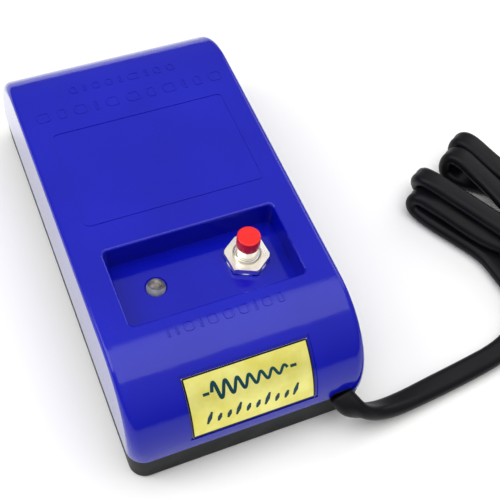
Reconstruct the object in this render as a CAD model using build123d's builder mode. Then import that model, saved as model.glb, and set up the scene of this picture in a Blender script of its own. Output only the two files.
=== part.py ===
from build123d import *
import math
import os

# A desktop demagnetizer for watches: a mains coil with an open iron core under the flat top of a
# plastic case, a push button and a lamp in a recess, and a flat mains cord with a two-blade plug.
# Millimetres. X runs left to right, Y front to back, Z up. The origin is under the middle of the
# case, on the surface that it stands on.

os.makedirs("parts", exist_ok=True)

# Case
LENGTH = 120.0
WIDTH = 62.0
HEIGHT = 32.0
PARTING_Z = 10.6  # the blue shell above, the black base below
TOP_WIDTH = 60.7  # the sides lean in a little
END_RADIUS = HEIGHT - PARTING_Z  # both ends of the shell are quarter rounds
ARC_Y = LENGTH / 2 - END_RADIUS  # the flat top ends here, at each end
CORNER_RADIUS = 4.6  # of the corners at the parting line
RIDGE_RADIUS = 1.5  # of the long edges of the top
END_SECTIONS = 6
WALL = 2.2
MARK_HEIGHT = 0.15
MARK_WIDTH = 0.7

# Base
BASE_INSET = 0.5  # how far the base draws in towards its underside
BASE_GAP = 0.15  # the step at the parting line
BASE_FLOOR = 2.0
BASE_WALL = 2.2
LIP_HEIGHT = 1.6
LIP_WALL = 1.1
LIP_CLEARANCE = 0.12

# Case screws
SCREW_X, SCREW_Y = 24.0, 40.0
POST_DIAMETER = 6.4
SCREW_SEAT_Z = 3.4
SCREW_TIP_Z = 19.0
SCREW_SHANK = 2.6
SCREW_HEAD = 5.6
SCREW_HEAD_HEIGHT = 2.2

# Watch area on the top, and the coil under it
AREA_X = 24.2
AREA_FRONT, AREA_BACK = -5.2, 26.3
COIL_Y = (AREA_FRONT + AREA_BACK) / 2

# Control recess
RECESS_X = 22.4
RECESS_FRONT, RECESS_BACK = -35.4, -13.5
RECESS_Y = (RECESS_FRONT + RECESS_BACK) / 2
RECESS_LENGTH = RECESS_BACK - RECESS_FRONT
RECESS_DEPTH = 7.5
RECESS_CORNER = 1.3
RECESS_WALL = 1.8
PANEL_Z = HEIGHT - RECESS_DEPTH
PANEL_THICK = 2.2
PANEL_UNDER = PANEL_Z - PANEL_THICK

# Push button
BUTTON_X, BUTTON_Y = 12.4, -22.3
BUTTON_TRAVEL = 2.2
BUSHING_DIAMETER = 6.9
BUSHING_BORE = 5.8
NECK_DIAMETER = 5.64
NUT_TURN = -24.0  # degrees
CAP_DIAMETER = 6.0
CAP_HEIGHT = 3.6
CAP_BOTTOM = 30.7
WASHER_THICK = 0.4
NUT_FLATS = 10.4
NUT_THICK = 1.8
NUT_BOTTOM = PANEL_Z + WASHER_THICK
NUT_TOP = NUT_BOTTOM + NUT_THICK
BUSHING_TOP = NUT_TOP + 0.5
FLANGE_THICK = 1.0
FLANGE_BOTTOM = PANEL_UNDER - FLANGE_THICK
SWITCH_DIAMETER = 10.4
SWITCH_BORE = 7.8
SWITCH_BOTTOM = 10.8
SWITCH_FLOOR = 12.0
STEM_DIAMETER = 2.0
STEM_BOTTOM = 14.6
BRIDGE_Z = 16.4
BRIDGE_THICK = 0.5
CONTACT_TOP = BRIDGE_Z - BUTTON_TRAVEL - 0.1
LUG_X = 2.95
LUG_BOTTOM = 6.0
SPRING_WIRE = 0.4
SPRING_RADIUS = 1.55
SPRING_TURNS = 4

# Lamp
LED_X, LED_Y = -11.9, -22.8
LED_DIAMETER = 5.0
LED_TOP = 26.4
LED_FLANGE = 5.8
LEAD_PITCH = 2.54
LEAD_SIDE = 0.5
LED_CUP_BOTTOM = 22.6
ANODE_BOTTOM = 18.7
CATHODE_BOTTOM = 11.7

# Core and coil
CORE_WIDTH = 41.0
CORE_BOTTOM = BASE_FLOOR + 0.8
CORE_TOP = 28.8
CORE_STACK = 16.0
CORE_LEG = 6.8
CENTRE_LEG = 13.6
FLANGE = 1.0
BOBBIN_WALL = 0.9
BOBBIN_CLEARANCE = 0.1
BOBBIN_BOTTOM = CORE_BOTTOM + CORE_LEG
COIL_X, COIL_HALF_Y = 13.0, 14.0
TAPE_THICK = 0.3
BRACKET_THICK = 0.8
BRACKET_X = 28.0
BOLT_X = 24.7
PIN_BOTTOM = 6.8

# Mains cord, flat with two cores
CORD_WIDTH, CORD_THICK = 6.3, 3.9
CORD_TUBE = 5.2  # a round tube with the flat cord's section area
CORD_X, CORD_Z = 23.7, 10.8
SHEATH_END = -50.0
TIE_Y = -55.0
WIRE = 1.8

# Label, set into the front quarter round
LABEL_MIDDLE, LABEL_HALF = 0.3, 15.8
LABEL_FROM, LABEL_TO = 33.7, 79.2  # degrees down from the top
POCKET_MIDDLE, POCKET_HALF = 0.4, 16.5
POCKET_FROM, POCKET_TO = 31.6, 81.0
POCKET_DEPTH = 0.3
LABEL_THICK = 0.25


def end_section(angle, inset):
    """A section of the shell's end, drawn in by inset, at an angle about the axis of the end's
    rounding: 0 degrees is the outline at the parting line, 90 is the section across the top."""
    rise = math.sin(math.radians(angle))
    foot = WIDTH / 2 - inset
    rim = foot - (WIDTH - TOP_WIDTH) / 2 * rise
    reach = END_RADIUS - inset
    corner = max(CORNER_RADIUS + (RIDGE_RADIUS - CORNER_RADIUS) * rise - inset, 0.6)
    facing = (0, rise, math.cos(math.radians(angle)))
    with BuildSketch(Plane((0, -ARC_Y, PARTING_Z), (1, 0, 0), facing)) as section:
        with BuildLine():
            outline = FilletPolyline(
                (foot, 0), (rim, -reach), (-rim, -reach), (-foot, 0), radius=corner
            )
            Line(outline @ 1, outline @ 0)
        make_face()
    return section.sketch


def shell_block(inset):
    """The solid form of the shell, drawn in by inset all over, open to nothing."""
    with BuildPart() as block:
        for step in range(END_SECTIONS + 1):
            add(end_section(90 * step / END_SECTIONS, inset))
        loft()
        mirror(about=Plane.XZ)
        extrude(end_section(90, inset), amount=2 * ARC_Y, dir=(0, 1, 0))
    return block.part


def end_strip(from_angle, to_angle, inner, outer, middle, half):
    """A strip of the front quarter round, between two angles down from the top."""
    with BuildPart() as strip:
        with BuildSketch(Plane.YZ.offset(middle)):
            with BuildLine():
                low = CenterArc((-ARC_Y, PARTING_Z), inner, 90 + from_angle, to_angle - from_angle)
                high = CenterArc((-ARC_Y, PARTING_Z), outer, 90 + from_angle, to_angle - from_angle)
                Line(low @ 0, high @ 0)
                Line(low @ 1, high @ 1)
            make_face()
        extrude(amount=half, both=True)
    return strip.part


def finish(piece, name):
    """Labels a finished piece and writes its file."""
    piece.label = name
    export_step(piece, f"parts/{name}.step")


def corners(x, y):
    """The four places at plus and minus x and y."""
    return [(i * x, j * y) for i in (-1, 1) for j in (-1, 1)]


# Blue top shell
with BuildPart() as top_shell:
    add(shell_block(0))
    add(shell_block(WALL), mode=Mode.SUBTRACT)
    with BuildSketch(Plane.XY.offset(PANEL_UNDER)):
        with Locations((0, RECESS_Y)):
            RectangleRounded(
                2 * (RECESS_X + RECESS_WALL), RECESS_LENGTH + 2 * RECESS_WALL, RECESS_CORNER
            )
    extrude(amount=HEIGHT - PANEL_UNDER - 1)
    with BuildSketch(Plane.XY.offset(HEIGHT)):
        with Locations((0, RECESS_Y)):
            RectangleRounded(2 * RECESS_X, RECESS_LENGTH, RECESS_CORNER)
    extrude(amount=-RECESS_DEPTH, mode=Mode.SUBTRACT)
    rim = top_shell.edges().group_by(Axis.Z)[-1].filter_by_position(Axis.X, -23, 23)
    fillet(rim.filter_by_position(Axis.Y, RECESS_FRONT - 1, RECESS_BACK + 1), 0.7)
    with BuildSketch(Plane.XY.offset(PARTING_Z)):
        with Locations(*corners(SCREW_X, SCREW_Y)):
            Circle(POST_DIAMETER / 2)
    extrude(amount=HEIGHT - PARTING_Z - 1)
    with BuildSketch(Plane.XY.offset(PARTING_Z)):
        with Locations(*corners(SCREW_X, SCREW_Y)):
            Circle(SCREW_SHANK / 2)
    extrude(amount=SCREW_TIP_Z + 1 - PARTING_Z, mode=Mode.SUBTRACT)
    with BuildSketch(Plane.XY.offset(PANEL_UNDER)):
        with Locations((BUTTON_X, BUTTON_Y)):
            Circle(BUSHING_DIAMETER / 2 + 0.05)
        with Locations((LED_X, LED_Y)):
            Circle(LED_DIAMETER / 2 + 0.05)
    extrude(amount=PANEL_THICK, mode=Mode.SUBTRACT)
    with Locations((LED_X, LED_Y, PANEL_Z)):
        Cone(
            LED_DIAMETER / 2 + 0.05,
            LED_DIAMETER / 2 + 0.4,
            0.4,
            align=(Align.CENTER, Align.CENTER, Align.MAX),
            mode=Mode.SUBTRACT,
        )
    with BuildSketch(Plane.XY.offset(HEIGHT)):
        with Locations((0, COIL_Y)):
            RectangleRounded(2 * AREA_X, AREA_BACK - AREA_FRONT, 2)
            RectangleRounded(
                2 * (AREA_X - MARK_WIDTH),
                AREA_BACK - AREA_FRONT - 2 * MARK_WIDTH,
                2 - MARK_WIDTH,
                mode=Mode.SUBTRACT,
            )
    extrude(amount=MARK_HEIGHT)
    add(
        end_strip(
            POCKET_FROM,
            POCKET_TO,
            END_RADIUS - POCKET_DEPTH,
            END_RADIUS + 1,
            POCKET_MIDDLE,
            POCKET_HALF,
        ),
        mode=Mode.SUBTRACT,
    )
    with BuildSketch(Plane((CORD_X, -LENGTH / 2, CORD_Z), (1, 0, 0), (0, 1, 0))):
        RectangleRounded(CORD_WIDTH + 0.1, CORD_THICK + 0.1, CORD_THICK / 2)
    extrude(amount=WALL + 1, mode=Mode.SUBTRACT)
finish(top_shell.part, "top_shell")

# Black base
with BuildPart() as base_plate:
    with BuildSketch():
        RectangleRounded(
            WIDTH - 2 * BASE_GAP - 2 * BASE_INSET,
            LENGTH - 2 * BASE_GAP - 2 * BASE_INSET,
            CORNER_RADIUS - BASE_INSET,
        )
    extrude(amount=PARTING_Z, taper=-math.degrees(math.atan2(BASE_INSET, PARTING_Z)))
    fillet(base_plate.edges().group_by(Axis.Z)[0], 0.8)
    with BuildSketch(Plane.XY.offset(BASE_FLOOR)):
        RectangleRounded(
            WIDTH - 2 * BASE_WALL - 2 * BASE_INSET,
            LENGTH - 2 * BASE_WALL - 2 * BASE_INSET,
            CORNER_RADIUS - BASE_WALL,
        )
    extrude(amount=PARTING_Z - BASE_FLOOR, mode=Mode.SUBTRACT)
    lip = WALL + LIP_CLEARANCE
    with BuildSketch(Plane.XY.offset(PARTING_Z - 2)):
        RectangleRounded(WIDTH - 2 * lip, LENGTH - 2 * lip, CORNER_RADIUS - lip)
        RectangleRounded(
            WIDTH - 2 * (lip + LIP_WALL), LENGTH - 2 * (lip + LIP_WALL), 1.2, mode=Mode.SUBTRACT
        )
    extrude(amount=LIP_HEIGHT + 2)
    with BuildSketch(Plane.XY.offset(BASE_FLOOR)):
        with Locations(*corners(SCREW_X, SCREW_Y)):
            Circle(POST_DIAMETER / 2)
    extrude(amount=PARTING_Z - BASE_FLOOR)
    with BuildSketch(Plane.XY.offset(PARTING_Z)):
        with Locations(*corners(SCREW_X, SCREW_Y)):
            Circle(POST_DIAMETER / 2 + LIP_CLEARANCE)
    extrude(amount=LIP_HEIGHT, mode=Mode.SUBTRACT)
    with Locations(*[(x, y, 0) for x, y in corners(SCREW_X, SCREW_Y)]):
        Cylinder(SCREW_HEAD / 2 + 0.3, SCREW_SEAT_Z, align=(Align.CENTER, Align.CENTER, Align.MIN),
                 mode=Mode.SUBTRACT)
        Cylinder(SCREW_SHANK / 2 + 0.2, PARTING_Z, align=(Align.CENTER, Align.CENTER, Align.MIN),
                 mode=Mode.SUBTRACT)
    with BuildSketch(Plane.XY.offset(PARTING_Z - 3)):
        with Locations((CORD_X, TIE_Y - 0.4)):
            Rectangle(CORD_WIDTH + 2.9, 4)
    extrude(amount=LIP_HEIGHT + 3, mode=Mode.SUBTRACT)
    for x in (-BOLT_X, BOLT_X):
        with BuildSketch(Plane((x, COIL_Y, 0), (1, 0, 0), (0, -1, 0))):
            with BuildLine():
                Polyline(
                    (0, 0), (3.1, 0), (1.6, 1.5), (1.6, BASE_FLOOR), (0, BASE_FLOOR), close=True
                )
            make_face()
        revolve(axis=Axis((x, COIL_Y, 0), (0, 0, 1)), mode=Mode.SUBTRACT)
    with BuildSketch(Plane((CORD_X, -LENGTH / 2, CORD_Z), (1, 0, 0), (0, 1, 0))):
        RectangleRounded(CORD_WIDTH + 0.1, CORD_THICK + 0.1, CORD_THICK / 2)
    extrude(amount=WALL + 3, mode=Mode.SUBTRACT)
finish(base_plate.part, "base_plate")

# Case screws, four alike
with BuildPart() as case_screws:
    for x, y in corners(SCREW_X, SCREW_Y):
        with BuildSketch(Plane((x, y, 0), (1, 0, 0), (0, -1, 0))):
            with BuildLine():
                Polyline(
                    (0, SCREW_TIP_Z),
                    (0, SCREW_SEAT_Z - SCREW_HEAD_HEIGHT),
                    (SCREW_HEAD / 2 - 0.5, SCREW_SEAT_Z - SCREW_HEAD_HEIGHT),
                    (SCREW_HEAD / 2, SCREW_SEAT_Z - SCREW_HEAD_HEIGHT + 0.7),
                    (SCREW_HEAD / 2, SCREW_SEAT_Z),
                    (SCREW_SHANK / 2, SCREW_SEAT_Z),
                    (SCREW_SHANK / 2, SCREW_TIP_Z - 2),
                    close=True,
                )
            make_face()
        revolve(axis=Axis((x, y, 0), (0, 0, 1)))
        with BuildSketch(Plane.XY.offset(SCREW_SEAT_Z - SCREW_HEAD_HEIGHT)):
            with Locations((x, y)):
                Rectangle(3.2, 0.7)
                Rectangle(0.7, 3.2)
        extrude(amount=1.2, mode=Mode.SUBTRACT)
finish(case_screws.part, "case_screws")

# Label, a curved foil plate in its pocket
label_plate = end_strip(
    LABEL_FROM,
    LABEL_TO,
    END_RADIUS - POCKET_DEPTH,
    END_RADIUS - POCKET_DEPTH + LABEL_THICK,
    LABEL_MIDDLE,
    LABEL_HALF,
)
finish(label_plate, "label_plate")

# Push button: cap, and a chromed plunger with its collar, stem and contact bridge
with BuildPart() as button_cap:
    with BuildSketch(Plane.XY.offset(CAP_BOTTOM)):
        with Locations((BUTTON_X, BUTTON_Y)):
            Circle(CAP_DIAMETER / 2)
    extrude(amount=CAP_HEIGHT)
    fillet(button_cap.edges().group_by(Axis.Z)[-1], 0.35)
    with BuildSketch(Plane.XY.offset(CAP_BOTTOM)):
        with Locations((BUTTON_X, BUTTON_Y)):
            Circle(1.6)
    extrude(amount=2.4, mode=Mode.SUBTRACT)
finish(button_cap.part, "button_cap")

with BuildPart() as button_plunger:
    with BuildSketch(Plane((BUTTON_X, BUTTON_Y, 0), (1, 0, 0), (0, -1, 0))):
        with BuildLine():
            Polyline(
                (0, CAP_BOTTOM + 2.3),
                (1.6, CAP_BOTTOM + 2.3),
                (1.6, CAP_BOTTOM),
                (NECK_DIAMETER / 2, CAP_BOTTOM),
                (NECK_DIAMETER / 2, FLANGE_BOTTOM - 0.1),
                (3.4, FLANGE_BOTTOM - 0.1),
                (3.4, FLANGE_BOTTOM - 0.9),
                (STEM_DIAMETER / 2, FLANGE_BOTTOM - 0.9),
                (STEM_DIAMETER / 2, STEM_BOTTOM),
                (0, STEM_BOTTOM),
                close=True,
            )
        make_face()
    revolve(axis=Axis((BUTTON_X, BUTTON_Y, 0), (0, 0, 1)))
finish(button_plunger.part, "button_plunger")

with BuildPart() as contact_bridge:
    with BuildSketch(Plane.XY.offset(BRIDGE_Z)):
        with Locations((BUTTON_X, BUTTON_Y)):
            Circle(3.5)
            Circle(STEM_DIAMETER / 2, mode=Mode.SUBTRACT)
    extrude(amount=BRIDGE_THICK)
finish(contact_bridge.part, "contact_bridge")

with BuildPart() as button_spring:
    coil_low = SWITCH_FLOOR + SPRING_WIRE / 2
    coil_high = BRIDGE_Z - SPRING_WIRE / 2
    with BuildLine():
        coil = Helix(
            (coil_high - coil_low) / SPRING_TURNS,
            coil_high - coil_low,
            SPRING_RADIUS,
            center=(BUTTON_X, BUTTON_Y, coil_low),
        )
    with BuildSketch(Plane(coil @ 0, z_dir=coil % 0)):
        Circle(SPRING_WIRE / 2 - 0.02)
    sweep()
finish(button_spring.part, "button_spring")

# Push button: threaded bushing with its flange, nut and washer
with BuildPart() as switch_bushing:
    with BuildSketch(Plane((BUTTON_X, BUTTON_Y, 0), (1, 0, 0), (0, -1, 0))):
        with BuildLine():
            Polyline(
                (BUSHING_BORE / 2, FLANGE_BOTTOM),
                (SWITCH_DIAMETER / 2, FLANGE_BOTTOM),
                (SWITCH_DIAMETER / 2, PANEL_UNDER),
                (BUSHING_DIAMETER / 2, PANEL_UNDER),
                (BUSHING_DIAMETER / 2, BUSHING_TOP - 0.25),
                (BUSHING_DIAMETER / 2 - 0.25, BUSHING_TOP),
                (BUSHING_BORE / 2, BUSHING_TOP),
                close=True,
            )
        make_face()
    revolve(axis=Axis((BUTTON_X, BUTTON_Y, 0), (0, 0, 1)))
finish(switch_bushing.part, "switch_bushing")

with BuildPart() as hex_nut:
    with BuildSketch(Plane.XY.offset(NUT_BOTTOM)):
        with Locations((BUTTON_X, BUTTON_Y)):
            RegularPolygon(NUT_FLATS / 2, 6, major_radius=False, rotation=NUT_TURN)
            Circle(BUSHING_DIAMETER / 2, mode=Mode.SUBTRACT)
    extrude(amount=NUT_THICK)
    with BuildSketch(Plane((BUTTON_X, BUTTON_Y, 0), (1, 0, 0), (0, -1, 0))):
        with BuildLine():
            Polyline(
                (0, NUT_BOTTOM),
                (NUT_FLATS / 2 + 1.2, NUT_BOTTOM),
                (NUT_FLATS / 2 + 1.2, NUT_TOP - 0.7),
                (NUT_FLATS / 2 + 0.5, NUT_TOP),
                (0, NUT_TOP),
                close=True,
            )
        make_face()
    revolve(axis=Axis((BUTTON_X, BUTTON_Y, 0), (0, 0, 1)), mode=Mode.INTERSECT)
    chamfer(hex_nut.edges().filter_by(GeomType.CIRCLE).sort_by(SortBy.RADIUS)[0:2], 0.3)
finish(hex_nut.part, "hex_nut")

with BuildPart() as lock_washer:
    with BuildSketch(Plane.XY.offset(PANEL_Z)):
        with Locations((BUTTON_X, BUTTON_Y)):
            Circle(5.3)
            Circle(BUSHING_DIAMETER / 2, mode=Mode.SUBTRACT)
            with PolarLocations(BUSHING_DIAMETER / 2 + 0.3, 8):
                Rectangle(0.7, 0.6, mode=Mode.SUBTRACT)
    extrude(amount=WASHER_THICK)
finish(lock_washer.part, "lock_washer")

# Push button: body below the panel, and its two fixed contacts with solder lugs
with BuildPart() as switch_body:
    with BuildSketch(Plane.XY.offset(SWITCH_BOTTOM)):
        with Locations((BUTTON_X, BUTTON_Y)):
            Circle(SWITCH_DIAMETER / 2)
    extrude(amount=FLANGE_BOTTOM - SWITCH_BOTTOM)
    with BuildSketch(Plane.XY.offset(SWITCH_FLOOR)):
        with Locations((BUTTON_X, BUTTON_Y)):
            Circle(SWITCH_BORE / 2)
    extrude(amount=FLANGE_BOTTOM - SWITCH_FLOOR, mode=Mode.SUBTRACT)
    with BuildSketch(Plane.XY.offset(SWITCH_BOTTOM)):
        with Locations((BUTTON_X - LUG_X, BUTTON_Y), (BUTTON_X + LUG_X, BUTTON_Y)):
            Rectangle(0.8, 2.4)
    extrude(amount=SWITCH_FLOOR - SWITCH_BOTTOM, mode=Mode.SUBTRACT)
finish(switch_body.part, "switch_body")

with BuildPart() as switch_lugs:
    with BuildSketch(Plane.XY.offset(LUG_BOTTOM)):
        with Locations((BUTTON_X - LUG_X, BUTTON_Y), (BUTTON_X + LUG_X, BUTTON_Y)):
            Rectangle(0.8, 2.4)
    extrude(amount=CONTACT_TOP - LUG_BOTTOM)
finish(switch_lugs.part, "switch_lugs")

# Lamp: clear lens, lead frame, dropping resistor and diode
with BuildPart() as led_lens:
    with BuildSketch(Plane((LED_X, LED_Y, 0), (1, 0, 0), (0, -1, 0))):
        with BuildLine():
            dome = CenterArc((0, LED_TOP - LED_DIAMETER / 2), LED_DIAMETER / 2, 0, 90)
            Polyline(
                dome @ 0,
                (LED_DIAMETER / 2, PANEL_UNDER),
                (LED_FLANGE / 2, PANEL_UNDER),
                (LED_FLANGE / 2, FLANGE_BOTTOM),
                (0, FLANGE_BOTTOM),
                dome @ 1,
            )
        make_face()
    revolve(axis=Axis((LED_X, LED_Y, 0), (0, 0, 1)))
    with BuildSketch(Plane.XY.offset(FLANGE_BOTTOM)):
        with Locations((LED_X - LEAD_PITCH / 2, LED_Y), (LED_X + LEAD_PITCH / 2, LED_Y)):
            Rectangle(LEAD_SIDE, LEAD_SIDE)
    extrude(amount=LED_CUP_BOTTOM - FLANGE_BOTTOM, mode=Mode.SUBTRACT)
    with BuildSketch(Plane.XY.offset(LED_CUP_BOTTOM)):
        with Locations((LED_X + LEAD_PITCH / 2 - 0.75, LED_Y)):
            Rectangle(2.0, 1.4)
        with Locations((LED_X - LEAD_PITCH / 2, LED_Y)):
            Rectangle(0.9, 0.9)
    extrude(amount=1.2, mode=Mode.SUBTRACT)
finish(led_lens.part, "led_lens")

with BuildPart() as led_leads:
    for side, bottom, width, depth, shift in (
        (-1, ANODE_BOTTOM, 0.9, 0.9, 0),
        (1, CATHODE_BOTTOM, 2.0, 1.4, -0.75),
    ):
        x = LED_X + side * LEAD_PITCH / 2
        with BuildSketch(Plane.XY.offset(bottom)):
            with Locations((x, LED_Y)):
                Rectangle(LEAD_SIDE, LEAD_SIDE)
        extrude(amount=LED_CUP_BOTTOM - bottom)
        with BuildSketch(Plane.XY.offset(LED_CUP_BOTTOM)):
            with Locations((x + shift, LED_Y)):
                Rectangle(width, depth)
        extrude(amount=1.2)
finish(led_leads.part, "led_leads")


def axial_part(x, top, body_top, body_bottom, bottom, diameter):
    """A small wired component standing under a lead of the lamp."""
    with BuildPart() as component:
        with BuildSketch(Plane.XY.offset(body_bottom)):
            with Locations((x, LED_Y)):
                Circle(diameter / 2)
        extrude(amount=body_top - body_bottom)
        fillet(component.edges(), 0.3)
        with BuildSketch(Plane.XY.offset(bottom)):
            with Locations((x, LED_Y)):
                Circle(0.3)
        extrude(amount=top - bottom)
    return component.part


ANODE_X = LED_X - LEAD_PITCH / 2
CATHODE_X = LED_X + LEAD_PITCH / 2
finish(axial_part(ANODE_X, ANODE_BOTTOM, 18.2, 12.2, 6.0, 2.3), "led_resistor")
finish(axial_part(CATHODE_X, CATHODE_BOTTOM, 11.2, 6.0, 5.4, 2.6), "led_diode")

# Open iron core, its legs pointing up at the watch area
with BuildPart() as core_stack:
    with BuildSketch(Plane.XY.offset(CORE_BOTTOM)):
        with Locations((0, COIL_Y)):
            Rectangle(CORE_WIDTH, CORE_STACK)
    extrude(amount=CORE_TOP - CORE_BOTTOM)
    slot = (CORE_WIDTH - CENTRE_LEG) / 2 - CORE_LEG
    with BuildSketch(Plane.XY.offset(BOBBIN_BOTTOM)):
        with Locations(
            (-(CENTRE_LEG + slot) / 2, COIL_Y), ((CENTRE_LEG + slot) / 2, COIL_Y)
        ):
            Rectangle(slot, CORE_STACK)
    extrude(amount=CORE_TOP - BOBBIN_BOTTOM, mode=Mode.SUBTRACT)
finish(core_stack.part, "core_stack")

# Bobbin on the middle leg, with its winding, tape and four pins
with BuildPart() as coil_bobbin:
    hole_x = CENTRE_LEG + 2 * BOBBIN_CLEARANCE
    hole_y = CORE_STACK + 2 * BOBBIN_CLEARANCE
    tube_x, tube_y = hole_x + 2 * BOBBIN_WALL, hole_y + 2 * BOBBIN_WALL
    with BuildSketch(Plane.XY.offset(BOBBIN_BOTTOM)):
        with Locations((0, COIL_Y)):
            RectangleRounded(2 * COIL_X + 1, 2 * COIL_HALF_Y + 1, 1.5)
    extrude(amount=CORE_TOP - 0.2 - BOBBIN_BOTTOM)
    with BuildSketch(Plane.XY.offset(BOBBIN_BOTTOM + FLANGE)):
        with Locations((0, COIL_Y)):
            Rectangle(2 * COIL_X + 2, 2 * COIL_HALF_Y + 2)
            RectangleRounded(tube_x, tube_y, 0.8, mode=Mode.SUBTRACT)
    extrude(amount=CORE_TOP - 0.2 - 2 * FLANGE - BOBBIN_BOTTOM, mode=Mode.SUBTRACT)
    with BuildSketch(Plane.XY.offset(BOBBIN_BOTTOM)):
        with Locations((0, COIL_Y)):
            Rectangle(hole_x, hole_y)
    extrude(amount=CORE_TOP - BOBBIN_BOTTOM, mode=Mode.SUBTRACT)
finish(coil_bobbin.part, "coil_bobbin")


def coil_sleeve(inner_x, inner_y, inner_r, outer_x, outer_y, outer_r):
    """A layer round the bobbin, between its flanges."""
    with BuildPart() as sleeve:
        with BuildSketch(Plane.XY.offset(BOBBIN_BOTTOM + FLANGE)):
            with Locations((0, COIL_Y)):
                RectangleRounded(outer_x, outer_y, outer_r)
                RectangleRounded(inner_x, inner_y, inner_r, mode=Mode.SUBTRACT)
        extrude(amount=CORE_TOP - 0.2 - 2 * FLANGE - BOBBIN_BOTTOM)
    return sleeve.part


wound_x, wound_y = 2 * (COIL_X - TAPE_THICK), 2 * (COIL_HALF_Y - TAPE_THICK)
winding = coil_sleeve(tube_x, tube_y, 0.8, wound_x, wound_y, 3.7)
finish(winding, "coil_winding")
tape = coil_sleeve(wound_x, wound_y, 3.7, wound_x + 2 * TAPE_THICK, wound_y + 2 * TAPE_THICK, 4.0)
finish(tape, "winding_tape")

PIN_Y = COIL_Y - COIL_HALF_Y + 1.5
PIN_XS = (-11.5, -6.0, 4.5, 10.5)
with BuildPart() as bobbin_pins:
    with BuildSketch(Plane.XY.offset(PIN_BOTTOM)):
        with Locations(*[(x, PIN_Y) for x in PIN_XS]):
            Circle(0.5)
    extrude(amount=BOBBIN_BOTTOM - PIN_BOTTOM)
finish(bobbin_pins.part, "bobbin_pins")

# Bracket under and beside the core, bolted through the base
with BuildPart() as core_bracket:
    with BuildSketch(Plane.XY.offset(BASE_FLOOR)):
        with Locations((0, COIL_Y)):
            RectangleRounded(2 * BRACKET_X, 12, 1.5)
        with Locations((-BOLT_X, COIL_Y), (BOLT_X, COIL_Y)):
            Circle(1.6, mode=Mode.SUBTRACT)
    extrude(amount=BRACKET_THICK)
    with BuildSketch(Plane.XY.offset(BASE_FLOOR)):
        side_x = CORE_WIDTH / 2 + BRACKET_THICK / 2
        with Locations((-side_x, COIL_Y), (side_x, COIL_Y)):
            Rectangle(BRACKET_THICK, 12)
    extrude(amount=20)
finish(core_bracket.part, "core_bracket")

with BuildPart() as bracket_bolts:
    for x in (-BOLT_X, BOLT_X):
        with BuildSketch(Plane((x, COIL_Y, 0), (1, 0, 0), (0, -1, 0))):
            with BuildLine():
                Polyline(
                    (0, 0.15), (2.8, 0.15), (1.5, 1.5), (1.5, 7.0), (1.1, 7.4), (0, 7.4), close=True
                )
            make_face()
        revolve(axis=Axis((x, COIL_Y, 0), (0, 0, 1)))
        with BuildSketch(Plane.XY.offset(0.15)):
            with Locations((x, COIL_Y)):
                Rectangle(2.6, 0.6)
                Rectangle(0.6, 2.6)
        extrude(amount=0.8, mode=Mode.SUBTRACT)
finish(bracket_bolts.part, "bracket_bolts")

with BuildPart() as bracket_nuts:
    with BuildSketch(Plane.XY.offset(BASE_FLOOR + BRACKET_THICK)):
        for x in (-BOLT_X, BOLT_X):
            with Locations((x, COIL_Y)):
                RegularPolygon(2.75, 6, major_radius=False)
                Circle(1.5, mode=Mode.SUBTRACT)
    extrude(amount=2.4)
finish(bracket_nuts.part, "bracket_nuts")


def wire(points, bend, diameter):
    """A round wire along straight runs joined by arcs of one radius."""
    with BuildPart() as run:
        with BuildLine():
            path = FilletPolyline(*points, radius=bend)
        with BuildSketch(Plane(path @ 0, z_dir=path % 0)):
            Circle(diameter / 2)
        sweep()
    return run.part


def cord(name, points):
    """A stretch of the free cord: straight runs, with arcs as large as the runs beside them allow."""
    runs = [Vector(*b) - Vector(*a) for a, b in zip(points, points[1:])]
    radii = []
    for before, after in zip(runs, runs[1:]):
        half_turn = math.radians(before.get_angle(after)) / 2
        radii.append(0.45 * min(before.length, after.length) / math.tan(half_turn))
    with BuildPart() as tube:
        with BuildLine():
            path = FilletPolyline(*points, radius=radii)
        with BuildSketch(Plane(path @ 0, z_dir=path % 0)):
            Circle(CORD_TUBE / 2)
        sweep()
    section = math.pi * CORD_TUBE**2 / 4
    print(f"{name}: {path.length:.1f} mm, bends of {[round(r, 1) for r in radii]} mm,", end=" ")
    print(f"volume over section times length {tube.part.volume / section / path.length:.4f}")
    finish(tube.part, name)


# Cord inside the case: the flat sheath through its slot, a tie behind the wall, and the wiring
with BuildPart() as cord_inside:
    with BuildSketch(Plane((CORD_X, -LENGTH / 2, CORD_Z), (1, 0, 0), (0, -1, 0))):
        RectangleRounded(CORD_WIDTH, CORD_THICK, CORD_THICK / 2 - 0.01)
    extrude(amount=-(SHEATH_END + LENGTH / 2))
finish(cord_inside.part, "cord_inside")

with BuildPart() as cord_tie:
    with BuildSketch(Plane((CORD_X, TIE_Y, CORD_Z), (1, 0, 0), (0, -1, 0))):
        RectangleRounded(CORD_WIDTH + 2.4, CORD_THICK + 2.4, CORD_THICK / 2 + 1)
        with Locations((0, -CORD_THICK / 2 - 1.8)):
            Rectangle(4.5, 3.0)
        RectangleRounded(CORD_WIDTH, CORD_THICK, CORD_THICK / 2 - 0.01, mode=Mode.SUBTRACT)
    extrude(amount=1.25, both=True)
finish(cord_tie.part, "cord_tie")

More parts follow.
